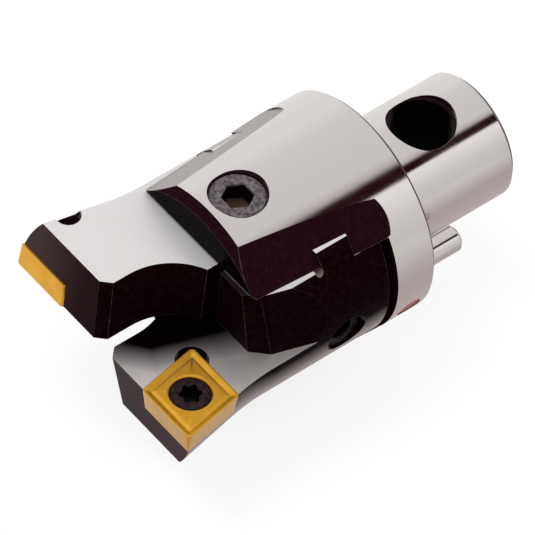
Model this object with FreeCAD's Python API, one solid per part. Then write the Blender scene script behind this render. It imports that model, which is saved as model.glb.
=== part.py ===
"""Twin-cutter rough boring head with a modular shank, in millimetres.

The head is drawn along its own axis, Z towards the cutting end, with the centre of
the contact face behind the flange as origin. The two insert holders slide apart
along X, and the whole head is laid on its side at the end.
"""
import FreeCAD, Part
import math
import os
from FreeCAD import Placement, Rotation, Vector

# Body and shank
body_diameter = 42.0
body_length = 36.0
flange_length = 8.4
front_chamfer = 1.5
rear_chamfer = 0.6
shank_diameter = 24.0
shank_length = 25.5
shank_chamfer = 0.8
shank_seam_setback = 13.9
relief_width = 0.7
relief_depth = 0.5
cross_bore_diameter = 11.8
cross_bore_setback = 13.0
cross_bore_chamfer = 0.3

# Drive pin behind the flange, and the index mark in its rim
drive_pin_diameter = 5.0
drive_pin_grip_diameter = 4.0
drive_pin_wall = 1.3
drive_pin_reach = 8.0
drive_pin_grip = 6.0
drive_pin_chamfer = 0.6
drive_pin_mouth_gap = 0.1
mark_diameter = 4.8
mark_depth = 0.7
mark_fill = 0.55
mark_angle = -21.0

# Flats milled on the four corners of the cheeks, deeper at the front
flat_depth_front = 1.55
flat_depth_back = 0.25
flat_overrun = 1.2
flat_cutter_diameter = 17.0

# Slot across the front, with a groove in each cheek for the tongues
slide_clearance = 0.02
slot_half_height = 12.5
rear_land_step = 0.5
tongue_rise = 7.2
tongue_width = 6.7
tongue_reach = 2.35
root_relief_radius = 0.75
cheek_edge_chamfer = 0.6

# Clamp screws, one through each cheek, and the pads under them
clamp_screw_diameter = 10.0
clamp_screw_setback = 8.0
clamp_screw_recess = 0.9
clamp_screw_chamfer = 0.3
clamp_hex = 5.0
clamp_hex_depth = 3.6
clamp_mouth_chamfer = 0.25
screw_clearance = 0.05
contact_gap = 0.03
pad_diameter = 7.8
pad_thickness = 1.2

# Stop pin in the slot floor, which the adjusting screws push on
stop_diameter = 12.0
stop_shank_diameter = 8.0
stop_grip = 12.0
stop_half_width = 3.5
stop_front_gap = 0.3

# Adjusting screws with their nylon pellets
adjust_diameter = 8.0
adjust_rise = 10.6
adjust_sideways = 3.0
adjust_recess = 0.6
adjust_chamfer = 0.4
adjust_hex = 4.0
adjust_hex_depth = 4.5
adjust_tip_diameter = 5.5
adjust_tip_length = 2.0
pellet_diameter = 2.0
pellet_depth = 1.6
pellet_setback = 8.0

# Insert holders, drawn at home, where their outer ends are flush with the body
holder_inset = 0.3
slot_floor_gap = 1.8
nose_reach = 20.0
front_relief = 8.0
flare_blend_radius = 45.0
foot_stop_gap = 0.7
tongue_shoulder = 1.6
arm_step_setback = 2.8
arm_tip_hidden = 9.0
arm_tip_front = 4.5
running_gap = 0.15
lap_gap = 0.1
holder_gap = 0.3
gullet_radius = 12.5
gullet_clear = 0.7
flank_offset = 1.15
flank_draft = 1.4
flank_chamfer = 1.7
shoulder_width = 5.4
shoulder_draft = 2.7
side_cut_length = 12.45
side_cut_heading = 14.0
side_cut_slope = 16.7
edge_recess_diameter = 4.6
edge_recess_depth = 2.2
edge_recess_setback = 0.4

# Settings of the two holders at rest, outwards from home, and the innermost one
setting_a = 0.0
setting_b = -0.5
closed_setting = -1.0

# Inserts, and the pockets that they sit in
tip_reach = 3.0
insert_circle = 12.7
insert_point_angle = 80.0
insert_thickness = 4.76
insert_corner_radius = 0.8
insert_clearance_angle = 7.0
insert_hole_diameter = 5.5
insert_mouth_diameter = 7.8
insert_mouth_depth = 2.1
insert_overhang = 0.35
breaker_land = 0.35
breaker_width = 0.9
breaker_depth = 0.35
breaker_rise = 0.4
pocket_relief_radius = 2.95
pocket_relief_shift = 2.8
pocket_relief_depth = 0.3

# Insert screws with six-lobe sockets
insert_thread_diameter = 4.8
insert_screw_length = 9.1
insert_thread_runout = 0.2
insert_screw_recess = 0.2
lobe_count = 6
lobe_tip_diameter = 4.1
lobe_root_diameter = 3.0
lobe_depth = 1.9

body_radius = body_diameter / 2
shank_radius = shank_diameter / 2
relief_radius = shank_radius + relief_width
drive_pin_x = relief_radius + drive_pin_wall + drive_pin_diameter / 2
flat_end = flange_length - flat_overrun
groove_back = flange_length + tongue_rise
groove_front = groove_back + tongue_width
clamp_screw_z = body_length - clamp_screw_setback
adjust_z = flange_length + adjust_rise
holder_radius = body_radius - holder_inset
holder_back = flange_length + slot_floor_gap
holder_front = body_length + nose_reach
foot_inner_face = stop_half_width + foot_stop_gap - closed_setting
arm_back = groove_front + tongue_shoulder
arm_step = body_length - arm_step_setback
gullet_bottom = body_length + gullet_clear
insert_inradius = insert_circle / 2
half_point = math.radians(insert_point_angle / 2)
insert_taper = math.tan(math.radians(insert_clearance_angle))
insert_front = holder_front + insert_overhang
insert_z = insert_front - insert_inradius
corner_to_centre = insert_corner_radius + (insert_inradius - insert_corner_radius) / math.tan(half_point)
insert_x = body_radius + tip_reach - corner_to_centre
flare_angle = math.pi / 2 - 2 * half_point
flare_front_radius = insert_x + insert_inradius / math.tan(half_point) - insert_overhang
clamp_hole_radius = clamp_screw_diameter / 2 + screw_clearance
adjust_hole_radius = adjust_diameter / 2 + screw_clearance
insert_hole_radius = insert_thread_diameter / 2 + screw_clearance
relief_angle = math.radians(front_relief)
draft_angle = math.atan2(flank_draft, slot_half_height)
stock = 3 * (body_diameter + body_length + shank_length)


def box(x0, x1, y0, y1, z0, z1):
    """Box between two corners."""
    return Part.makeBox(x1 - x0, y1 - y0, z1 - z0, Vector(x0, y0, z0))


def flat_face(points):
    """Face with straight edges through the points."""
    corners = [Vector(*point) for point in points]
    return Part.Face(Part.makePolygon(corners + corners[:1]))


def placed(shape, start, direction):
    """Shape drawn along Z, moved so that it starts at a point and runs along a direction."""
    shape.Placement = Placement(Vector(*start), Rotation(Vector(0, 0, 1), Vector(*direction)))
    return shape


def turned(profile, start=(0, 0, 0), direction=(0, 0, 1)):
    """Solid turned from a profile of (radius, height) points."""
    face = flat_face([(radius, 0, height) for radius, height in profile])
    return placed(face.revolve(Vector(0, 0, 0), Vector(0, 0, 1), 360), start, direction)


def rod(radius, start, direction, length):
    """Round bar from a start point along a direction."""
    return Part.makeCylinder(radius, length, Vector(*start), Vector(*direction))


def beyond(point, normal):
    """All stock on the far side of the plane through a point, with its outward normal."""
    block = box(-stock / 2, stock / 2, -stock / 2, stock / 2, 0, stock)
    return placed(block, point, normal)


def hexagon(across_flats, start, direction, depth):
    """Hexagonal socket with a flat bottom."""
    corner = across_flats / math.sqrt(3)
    angles = [math.radians(60 * side) for side in range(6)]
    face = flat_face([(corner * math.cos(angle), corner * math.sin(angle), 0) for angle in angles])
    return placed(face.extrude(Vector(0, 0, depth)), start, direction)


def on_both_sides(half):
    """Closed outline from one side of a symmetric section and its mirror image."""
    return half + [(-y, z) for y, z in reversed(half)]


def across(section, x0, x1):
    """Section of (y, z) points, run along the slide direction."""
    return flat_face([(x0, y, z) for y, z in section]).extrude(Vector(x1 - x0, 0, 0))


def half_turn(shape):
    """The same shape on the other side of the tool axis."""
    copy = shape.copy()
    copy.rotate(Vector(0, 0, 0), Vector(0, 0, 1), 180)
    return copy


def on_holder_a(shape):
    """A piece of the home holder at holder A's setting."""
    shape.translate(Vector(setting_a, 0, 0))
    return shape


def on_holder_b(shape):
    """A piece of the home holder, half a turn round and at holder B's setting."""
    copy = half_turn(shape)
    copy.translate(Vector(-setting_b, 0, 0))
    return copy


def slot():
    """Space across the front for the holders, with the tongue grooves."""
    land = slot_half_height + slide_clearance
    rear_land = slot_half_height - rear_land_step + slide_clearance
    groove = slot_half_height + tongue_reach + slide_clearance
    half = [(rear_land, flange_length), (rear_land, groove_back - slide_clearance),
            (groove, groove_back - slide_clearance), (groove, groove_front + slide_clearance),
            (land, groove_front + slide_clearance), (land, body_length - cheek_edge_chamfer),
            (land + cheek_edge_chamfer, body_length),
            (land + cheek_edge_chamfer, body_length + front_chamfer)]
    return across(on_both_sides(half), -body_diameter, body_diameter)


def corner_flat(corner_angle):
    """Path of the end mill that cuts the flat on one corner of the cheeks."""
    radius = flat_cutter_diameter / 2
    path = rod(radius, (0, 0, radius), (1, 0, 0), body_radius)
    path = path.fuse(box(0, body_radius, -radius, radius, radius, 2 * body_length))
    fall = math.atan2(flat_depth_front - flat_depth_back, body_length - flat_end)
    path.rotate(Vector(0, 0, 0), Vector(0, 1, 0), -math.degrees(fall))
    path.translate(Vector(body_radius - flat_depth_back, 0, flat_end))
    path.rotate(Vector(0, 0, 0), Vector(0, 0, 1), corner_angle)
    return path


def clamp_hole(side):
    """Tapped hole through one cheek, with its chamfered mouth."""
    hole = rod(clamp_hole_radius, (0, 0, clamp_screw_z), (0, side, 0), body_diameter)
    wide = clamp_hole_radius + clamp_mouth_chamfer
    rim = body_radius - clamp_hole_radius ** 2 / body_diameter
    mouth = turned([(0, 0), (clamp_hole_radius, 0), (wide, clamp_mouth_chamfer), (wide, body_radius),
                    (0, body_radius)], (0, side * (rim - clamp_mouth_chamfer), clamp_screw_z),
                   (0, side, 0))
    return hole.fuse(mouth)


def cross_bore():
    """Bore across the shank for the coupling pin, with chamfered mouths."""
    radius = cross_bore_diameter / 2
    bore = rod(radius, (0, -shank_diameter, -cross_bore_setback), (0, 1, 0), 2 * shank_diameter)
    rim = shank_radius - radius ** 2 / shank_diameter
    wide = radius + cross_bore_chamfer
    for side in (-1, 1):
        mouth = turned([(0, 0), (radius, 0), (wide, cross_bore_chamfer), (wide, shank_radius),
                        (0, shank_radius)], (0, side * (rim - cross_bore_chamfer), -cross_bore_setback),
                       (0, side, 0))
        bore = bore.fuse(mouth)
    return bore


def mark_recess():
    """Flat-bottomed round recess in the rim of the flange."""
    angle = math.radians(mark_angle)
    outward = (math.cos(angle), math.sin(angle), 0)
    floor = body_radius - mark_depth
    start = (floor * outward[0], floor * outward[1], flange_length / 2)
    return rod(mark_diameter / 2, start, outward, body_radius)


def head_body():
    """Flange, cheeks and shank, turned in one piece and milled; the shank's wall is in two bands."""
    blank = turned([(0, -shank_length), (shank_radius - shank_chamfer, -shank_length),
                    (shank_radius, -shank_length + shank_chamfer), (shank_radius, -shank_seam_setback),
                    (shank_radius, relief_depth),
                    (relief_radius, relief_depth), (relief_radius, 0), (body_radius - rear_chamfer, 0),
                    (body_radius, rear_chamfer), (body_radius, body_length - front_chamfer),
                    (body_radius - front_chamfer, body_length), (0, body_length)])
    stop_hole = rod(stop_shank_diameter / 2, (0, 0, flange_length - stop_grip), (0, 0, 1), stop_grip)
    pin_hole = drive_pin_hole()
    flats = [corner_flat(angle) for angle in (45, 135, 225, 315)]
    holes = [clamp_hole(1), clamp_hole(-1), cross_bore(), stop_hole, pin_hole, mark_recess()]
    return blank.cut([slot()] + flats + holes)


def drive_pin_hole():
    """Hole for the pressed end of the drive pin, with a mouth just wider than the pin."""
    grip_radius = drive_pin_grip_diameter / 2
    mouth = drive_pin_diameter / 2 + drive_pin_mouth_gap
    return turned([(0, 0), (mouth, 0), (grip_radius, mouth - grip_radius), (grip_radius, drive_pin_grip),
                   (0, drive_pin_grip)], (drive_pin_x, 0, 0))


def drive_pin():
    """Shouldered pin pressed into the contact face, proud of it to take the torque."""
    radius = drive_pin_diameter / 2
    grip_radius = drive_pin_grip_diameter / 2
    narrow = radius - drive_pin_chamfer
    return turned([(0, -drive_pin_reach), (narrow, -drive_pin_reach),
                   (radius, drive_pin_chamfer - drive_pin_reach), (radius, 0),
                   (grip_radius, radius - grip_radius), (grip_radius, drive_pin_grip),
                   (0, drive_pin_grip)], (drive_pin_x, 0, 0))


def index_mark():
    """Enamel in the recess of the rim, rounded like the rim and a little below it."""
    inside = rod(body_radius - mark_depth + mark_fill, (0, 0, 0), (0, 0, 1), flange_length)
    return mark_recess().common(inside)


def stop_pin():
    """Pin in the slot floor, with two flats for the adjusting screws."""
    head_length = arm_back - stop_front_gap - flange_length
    head_radius = stop_diameter / 2
    grip_radius = stop_shank_diameter / 2
    blank = turned([(0, -stop_grip), (grip_radius, -stop_grip), (grip_radius, 0), (head_radius, 0),
                    (head_radius, head_length), (0, head_length)], (0, 0, flange_length))
    for side in (-1, 1):
        blank = blank.cut(box(*sorted((side * stop_half_width, side * stop_diameter)),
                              -stop_diameter, stop_diameter, flange_length, body_length))
    return blank


def clamp_screw(side):
    """Socket set screw in one cheek, a little below the body's surface."""
    radius = clamp_screw_diameter / 2
    foot = slot_half_height + pad_thickness + 2 * contact_gap
    length = body_radius - clamp_screw_recess - foot
    narrow = radius - clamp_screw_chamfer
    screw = turned([(0, 0), (radius, 0), (radius, length - clamp_screw_chamfer), (narrow, length),
                    (0, length)], (0, side * foot, clamp_screw_z), (0, side, 0))
    head = body_radius - clamp_screw_recess
    return screw.cut(hexagon(clamp_hex, (0, side * head, clamp_screw_z), (0, -side, 0), clamp_hex_depth))


def clamp_pad(side):
    """Brass disc between a clamp screw and the ground face of a holder."""
    start = (0, side * (slot_half_height + contact_gap), clamp_screw_z)
    return rod(pad_diameter / 2, start, (0, side, 0), pad_thickness)


def adjusting_screw():
    """Socket set screw along the slide, from the stop pin to the holder's outer end."""
    radius = adjust_diameter / 2
    tip = stop_half_width + contact_gap
    head = holder_radius + closed_setting - adjust_recess
    length = head - tip
    narrow = radius - adjust_chamfer
    screw = turned([(0, 0), (adjust_tip_diameter / 2, 0), (adjust_tip_diameter / 2, adjust_tip_length),
                    (radius, adjust_tip_length), (radius, length - adjust_chamfer), (narrow, length),
                    (0, length)], (tip, -adjust_sideways, adjust_z), (1, 0, 0))
    socket = hexagon(adjust_hex, (head, -adjust_sideways, adjust_z), (-1, 0, 0), adjust_hex_depth)
    return screw.cut([socket, pellet_hole()])


def pellet_hole():
    """Cross hole in an adjusting screw, open at its thread."""
    pellet_x = stop_half_width + contact_gap + pellet_setback
    start = (pellet_x, -adjust_sideways, adjust_z + adjust_diameter / 2 - pellet_depth)
    return rod(pellet_diameter / 2, start, (0, 0, 1), adjust_diameter)


def lock_pellet():
    """Nylon pellet, flush with the screw, that grips the holder's thread."""
    start = (0, -adjust_sideways, adjust_z)
    return pellet_hole().common(rod(adjust_diameter / 2, start, (1, 0, 0), body_radius))


def insert_outline(inradius, corner_radius, height):
    """Rounded rhombus as a wire: sharp tip towards +X, -Y, front edge along X."""
    corners = []
    for corner in range(4):
        half_angle = math.pi / 2 - half_point if corner % 2 else half_point
        turn = corner * math.pi / 2 - half_point
        reach = (inradius - corner_radius) / math.sin(half_angle)
        centre = Vector(reach * math.cos(turn), reach * math.sin(turn), height)
        sweep = math.pi / 2 - half_angle
        corners.append([centre + Vector(math.cos(turn + step), math.sin(turn + step), 0) * corner_radius
                        for step in (-sweep, 0, sweep)])
    edges = []
    for corner, following in zip(corners, corners[1:] + corners[:1]):
        edges.append(Part.Arc(*corner).toShape())
        edges.append(Part.LineSegment(corner[2], following[0]).toShape())
    return Part.Wire(edges)


def sharp_outline(inradius, height):
    """The same rhombus with sharp corners."""
    corners = []
    for corner in range(4):
        reach = inradius / (math.cos(half_point) if corner % 2 else math.sin(half_point))
        turn = corner * math.pi / 2 - half_point
        corners.append(Vector(reach * math.cos(turn), reach * math.sin(turn), height))
    return Part.makePolygon(corners + corners[:1])


def between(lower, upper):
    """Solid with straight walls between two outlines."""
    return Part.makeLoft([lower, upper], True, True)


def chip_breaker():
    """Groove with mitred corners that runs round the rake face inside the cutting edge."""
    outer = insert_inradius - breaker_land
    floor = outer - breaker_width
    hollow = between(sharp_outline(floor, -breaker_depth), sharp_outline(outer, 0))
    island = between(sharp_outline(floor, -breaker_depth), sharp_outline(floor - breaker_rise, 0))
    return hollow.cut(island)


def insert():
    """Indexable insert, drawn flat with its rake face up at height zero."""
    shrink = insert_thickness * insert_taper
    foot = insert_outline(insert_inradius - shrink, insert_corner_radius - shrink, -insert_thickness)
    blank = between(foot, insert_outline(insert_inradius, insert_corner_radius, 0))
    hole = rod(insert_hole_diameter / 2, (0, 0, -insert_thickness), (0, 0, 1), insert_thickness)
    mouth = turned([(0, -insert_mouth_depth), (insert_hole_diameter / 2, -insert_mouth_depth),
                    (insert_mouth_diameter / 2, 0), (0, 0)])
    return blank.cut([chip_breaker(), hole, mouth])


def insert_screw():
    """Countersunk screw with a pointed six-lobe socket, drawn upright in the flat insert."""
    slope = (insert_mouth_diameter - insert_hole_diameter) / 2 / insert_mouth_depth
    head_radius = insert_mouth_diameter / 2 - insert_screw_recess * slope - screw_clearance
    radius = insert_thread_diameter / 2
    neck = insert_screw_recess + (head_radius - radius) / slope
    end = insert_screw_recess + insert_screw_length
    screw = turned([(0, -end), (radius, -end), (radius, -neck), (head_radius, -insert_screw_recess),
                    (0, -insert_screw_recess)])
    star = []
    for point in range(2 * lobe_count):
        reach = (lobe_root_diameter if point % 2 else lobe_tip_diameter) / 2
        angle = math.pi * point / lobe_count
        star.append((reach * math.cos(angle), reach * math.sin(angle), -insert_screw_recess))
    return screw.cut(flat_face(star).extrude(Vector(0, 0, -lobe_depth)))


def on_seat(shape):
    """A piece drawn on the flat insert, turned and moved to the home holder's seat."""
    shape.rotate(Vector(0, 0, 0), Vector(1, 0, 0), -90)
    shape.translate(Vector(insert_x, 0, insert_z))
    return shape


def pocket_outline(height):
    """Corner between the two walls of the pocket, open towards the tip."""
    reach = (insert_inradius + height * insert_taper) / math.sin(half_point)
    turn = math.pi - half_point
    inner = Vector(reach * math.cos(turn), reach * math.sin(turn), height)
    sideways = Vector(2 * insert_circle, 0, 0)
    forwards = Vector(math.cos(2 * half_point), -math.sin(2 * half_point), 0) * 2 * insert_circle
    return Part.makePolygon([inner, inner + sideways, inner + sideways + forwards, inner + forwards, inner])


def pocket():
    """Seat for the insert with its corner relief and the tapped hole under it."""
    seat = between(pocket_outline(-insert_thickness), pocket_outline(insert_thickness))
    turn = math.pi - half_point
    reach = insert_inradius / math.sin(half_point) - pocket_relief_shift
    floor = -insert_thickness - pocket_relief_depth
    relief = rod(pocket_relief_radius, (reach * math.cos(turn), reach * math.sin(turn), floor), (0, 0, 1),
                 2 * insert_thickness)
    thread_depth = insert_screw_recess + insert_screw_length + insert_thread_runout
    tapped = rod(insert_hole_radius, (0, 0, -thread_depth), (0, 0, 1), thread_depth)
    return on_seat(seat.fuse([relief, tapped]))


def edge_recess():
    """Shallow drilled hole centred on the outer edge of the nose's back face."""
    recess_z = insert_z - edge_recess_setback
    radius_there = flare_front_radius - (insert_front - recess_z) * math.tan(flare_angle)
    edge_x = math.sqrt(radius_there ** 2 - slot_half_height ** 2)
    start = (edge_x, -slot_half_height, recess_z)
    return rod(edge_recess_diameter / 2, start, (0, 1, 0), edge_recess_depth)


def holder_envelope():
    """Turned outside of a holder: flush with the body, then flared up to the insert."""
    corner_z = insert_front - (flare_front_radius - holder_radius) / math.tan(flare_angle)
    tangent = flare_blend_radius * math.tan(flare_angle / 2)
    start = Vector(holder_radius, 0, corner_z - tangent)
    centre = start + Vector(flare_blend_radius, 0, 0)
    middle, end = [centre + Vector(-math.cos(turn), 0, math.sin(turn)) * flare_blend_radius
                   for turn in (flare_angle / 2, flare_angle)]
    top = end + Vector(math.tan(flare_angle), 0, 1) * body_length
    edges = [Part.LineSegment(Vector(0, 0, 0), Vector(holder_radius, 0, 0)),
             Part.LineSegment(Vector(holder_radius, 0, 0), start), Part.Arc(start, middle, end),
             Part.LineSegment(end, top), Part.LineSegment(top, Vector(0, 0, top.z)),
             Part.LineSegment(Vector(0, 0, top.z), Vector(0, 0, 0))]
    face = Part.Face(Part.Wire([edge.toShape() for edge in edges]))
    return face.revolve(Vector(0, 0, 0), Vector(0, 0, 1), 360)


def holder_foot():
    """Rear end of a holder, which fills the slot and carries the tongues."""
    tongue = slot_half_height + tongue_reach
    rear_land = slot_half_height - rear_land_step
    half = [(rear_land, holder_back), (rear_land, groove_back), (tongue, groove_back),
            (tongue, groove_front), (slot_half_height, groove_front), (slot_half_height, arm_back)]
    foot = across(on_both_sides(half), foot_inner_face, body_diameter)
    reliefs = [rod(root_relief_radius, (0, side * slot_half_height, groove_front + root_relief_radius),
                   (1, 0, 0), body_diameter) for side in (-1, 1)]
    return foot, reliefs


def flank_cut():
    """Inner flank of the nose, swept out with a radius by the end mill of the gullet."""
    bottom_z = gullet_bottom + gullet_radius
    centre = Vector(flank_offset - gullet_radius, 0, bottom_z)
    side = math.sqrt(0.5) * gullet_radius
    points = [Vector(-stock, 0, gullet_bottom), centre + Vector(0, 0, -gullet_radius),
              Vector(flank_offset, 0, bottom_z), Vector(flank_offset, 0, stock),
              Vector(-stock, 0, stock)]
    edges = [Part.LineSegment(points[0], points[1]),
             Part.Arc(points[1], centre + Vector(side, 0, -side), points[2])]
    edges += [Part.LineSegment(points[i], points[(i + 1) % 5]) for i in range(2, 5)]
    face = Part.Face(Part.Wire([edge.toShape() for edge in edges]))
    path = face.extrude(Vector(0, -3 * slot_half_height, 0))
    path.translate(Vector(0, slot_half_height, 0))
    path.rotate(Vector(flank_offset, 0, 0), Vector(0, 0, 1), math.degrees(draft_angle))
    return path


def front_cuts():
    """Leaning front face of the nose, and the chamfer between it and the inner flank."""
    front = beyond((0, 0, holder_front), (0, -math.sin(relief_angle), math.cos(relief_angle)))
    chamfer = beyond((flank_offset, 0, holder_front - flank_chamfer),
                     (-math.cos(draft_angle), -math.sin(draft_angle) - math.sin(relief_angle),
                      math.cos(relief_angle)))
    return [front, chamfer]


def side_cuts():
    """Chamfer and slanting flat that open the gullet sideways, down to the rake face."""
    shoulder = beyond((holder_radius - shoulder_width, 0, gullet_bottom),
                      (1, shoulder_draft / slot_half_height, 1))
    heading = math.radians(side_cut_heading)
    slope = math.radians(side_cut_slope)
    touch = (holder_radius * math.cos(heading), holder_radius * math.sin(heading),
             body_length - side_cut_length)
    flat = beyond(touch, (math.cos(heading) * math.cos(slope), math.sin(heading) * math.cos(slope),
                          math.sin(slope)))
    above_rake = box(-stock, stock, -lap_gap, stock, 0, stock)
    return shoulder.fuse(flat).common(above_rake)


def holder():
    """Insert holder at home: foot in the slot, arm past the axis, nose with the pocket."""
    foot, reliefs = holder_foot()
    arm_front = arm_back + running_gap
    nose = box(-arm_tip_hidden, 2 * body_diameter, -slot_half_height, -lap_gap, arm_front, holder_front)
    step = box(-2 * arm_tip_hidden, -arm_tip_front, -stock, stock, arm_step, stock)
    reach_back = holder_gap - 2 * closed_setting
    block = box(arm_tip_hidden + reach_back, 2 * body_diameter, -lap_gap, slot_half_height,
                arm_back, gullet_bottom)
    front_block = box(arm_tip_front + reach_back, 2 * body_diameter, -lap_gap, slot_half_height,
                      arm_step + running_gap, gullet_bottom)
    root = box(foot_inner_face, 2 * body_diameter, -slot_half_height, -lap_gap, groove_front, arm_front)
    blank = foot.fuse([nose.cut([step, flank_cut()]), block, front_block, root])
    bore = rod(adjust_hole_radius, (0, -adjust_sideways, adjust_z), (1, 0, 0), stock)
    shape = blank.common(holder_envelope())
    cuts = reliefs + front_cuts() + [side_cuts(), pocket(), edge_recess(), bore]
    return shape.cut(cuts).removeSplitter()


PIECES = {
    "head_body": head_body,
    "drive_pin": drive_pin,
    "index_mark": index_mark,
    "stop_pin": stop_pin,
    "clamp_screw_top": lambda: clamp_screw(1),
    "clamp_screw_bottom": lambda: clamp_screw(-1),
    "clamp_pad_top": lambda: clamp_pad(1),
    "clamp_pad_bottom": lambda: clamp_pad(-1),
    "adjusting_screw_a": adjusting_screw,
    "adjusting_screw_b": lambda: half_turn(adjusting_screw()),
    "lock_pellet_a": lock_pellet,
    "lock_pellet_b": lambda: half_turn(lock_pellet()),
    "holder_a": lambda: on_holder_a(holder()),
    "holder_b": lambda: on_holder_b(holder()),
    "insert_a": lambda: on_holder_a(on_seat(insert())),
    "insert_b": lambda: on_holder_b(on_seat(insert())),
    "insert_screw_a": lambda: on_holder_a(on_seat(insert_screw())),
    "insert_screw_b": lambda: on_holder_b(on_seat(insert_screw())),
}

os.makedirs("parts", exist_ok=True)
for name, make in PIECES.items():
    piece = make()
    piece.rotate(Vector(0, 0, 0), Vector(1, 0, 0), 90)
    piece.exportStep(os.path.join("parts", name + ".step"))
    print(name, "solids", len(piece.Solids), "valid", piece.isValid(), "volume", round(piece.Volume, 2))
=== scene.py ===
"""Looks of a twin-cutter rough boring head, in metres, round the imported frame.

The head lies on its side: the shank points along +Y, the cutting end along -Y, the
holders slide along X, and Z is up. Sizes are in millimetres, and MM makes them metres.
"""

import math

import bmesh
import bpy
import numpy as np
from mathutils import Matrix


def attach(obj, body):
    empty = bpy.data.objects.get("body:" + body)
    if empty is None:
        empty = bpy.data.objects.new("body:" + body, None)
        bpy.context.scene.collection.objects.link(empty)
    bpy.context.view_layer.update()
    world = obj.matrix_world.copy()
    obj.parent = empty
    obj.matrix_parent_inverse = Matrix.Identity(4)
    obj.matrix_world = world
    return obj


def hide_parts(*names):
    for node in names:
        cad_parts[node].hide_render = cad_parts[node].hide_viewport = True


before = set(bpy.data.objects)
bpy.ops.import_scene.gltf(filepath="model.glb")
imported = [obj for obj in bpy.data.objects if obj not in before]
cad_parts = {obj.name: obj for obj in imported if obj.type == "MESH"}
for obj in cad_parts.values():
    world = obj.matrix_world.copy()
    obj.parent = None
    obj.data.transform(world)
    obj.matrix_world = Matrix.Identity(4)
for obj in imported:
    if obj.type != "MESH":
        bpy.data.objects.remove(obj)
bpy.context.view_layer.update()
scene = bpy.context.scene
scene.view_settings.view_transform = "Standard"
MM = 0.001


# Camera: a long lens at the photograph's angle, above the cutting end and to the right.
# The picture is square, and the head lies across it from lower left to upper right.

camera_data = bpy.data.cameras.new("photo_camera")
camera_data.lens = 424.45
camera_data.sensor_width = 36
camera_data.clip_start = 0.05
camera_data.clip_end = 20
camera = bpy.data.objects.new("photo_camera", camera_data)
camera.matrix_world = Matrix(((0.624372, -0.624337, 0.469428, 0.509049),
                              (0.779085, 0.454313, -0.432003, -0.488247),
                              (0.056448, 0.635455, 0.770072, 0.830246),
                              (0, 0, 0, 1)))
scene.collection.objects.link(camera)
scene.camera = camera


# Head body: flange, cheeks and shank of hardened steel, turned and milled, blackened all
# over, then ground bright on the outside, the shank, the contact face and the slot's guides.
# It is a smooth copy of the frame's node, with a normal for every point of a round wall.

AXIS_Y, AXIS_Z, CENTRE = (0, 1, 0), (0, 0, 1), (0, 0, 0)
BODY_RADIUS, BODY_LENGTH, BODY_CHAMFER, FLANGE_CHAMFER = 21, 36, 1.5, 0.6
SHANK_RADIUS, SHANK_LENGTH, SHANK_CHAMFER = 12, 25.5, 0.8
CLAMP_Y, CLAMP_HOLE_RADIUS = -28, 5.05
CROSS_BORE_Y, CROSS_BORE_RADIUS = 13, 5.9
MARK_Y, MARK_RADIUS, MARK_ANGLE = -4.2, 2.4, math.radians(-21)
SLOT_FLOOR_Y, GUIDE_LOW, GUIDE_HIGH = -8.5, 12, 15
MILL_RADIUS = 8.5


def weld(mesh):
    """Joins the corners of a mesh that are closer than a tenth of a micrometre."""
    work = bmesh.new()
    work.from_mesh(mesh)
    bmesh.ops.remove_doubles(work, verts=work.verts, dist=1e-7)
    work.to_mesh(mesh)
    work.free()


def as_object(name, mesh):
    """A new object of the mesh, in the scene."""
    piece = bpy.data.objects.new(name, mesh)
    scene.collection.objects.link(piece)
    return piece


def merged_copy(node, name):
    """A node's mesh as a new object, with the loose triangles joined at their corners."""
    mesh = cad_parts[node].data.copy()
    mesh.name = name
    weld(mesh)
    mesh.materials.clear()
    return as_object(name, mesh)


def mesh_arrays(mesh):
    """Corners, the three corners of each triangle, and the triangles' normals."""
    corners = np.empty(len(mesh.vertices) * 3)
    mesh.vertices.foreach_get("co", corners)
    triangles = np.empty(len(mesh.loops), int)
    mesh.loops.foreach_get("vertex_index", triangles)
    normals = np.empty(len(mesh.polygons) * 3)
    mesh.polygons.foreach_get("normal", normals)
    return corners.reshape(-1, 3), triangles.reshape(-1, 3), normals.reshape(-1, 3)


def turned_wall(origin, axis, start, end, radius, end_radius=None):
    """Cylinder or cone in mm, from start to end along the axis, as on_round_wall reads it."""
    end_radius = radius if end_radius is None else end_radius
    return np.array(origin) * MM, axis, (start * MM, end * MM), (radius * MM, end_radius * MM)


def on_round_wall(corners, triangles, normals, origin, axis, along, radius):
    """Triangles on a turned wall, and the wall's own normal at every corner.

    The wall is radius as a function of the distance along an axis. Its normal is the
    radial direction less the axis times the slope of that function.
    """
    axis = np.array(axis, float)
    relative = corners - np.array(origin, float)
    distance = relative @ axis
    radial = relative - distance[:, None] * axis
    reach = np.maximum(np.linalg.norm(radial, axis=1), 1e-9)
    slope = np.interp(distance, along, np.gradient(np.array(radius), np.array(along)))
    near = np.abs(reach - np.interp(distance, along, radius)) < 4e-6
    inside = (distance > min(along) - 2e-6) & (distance < max(along) + 2e-6)
    outward = radial / reach[:, None] - slope[:, None] * axis
    outward /= np.linalg.norm(outward, axis=1)[:, None]
    middle = outward[triangles].mean(1)
    facing = (normals * middle).sum(1) / np.linalg.norm(middle, axis=1)
    return (near & inside)[triangles].all(1) & (np.abs(facing) > 0.9945), outward, facing


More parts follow.
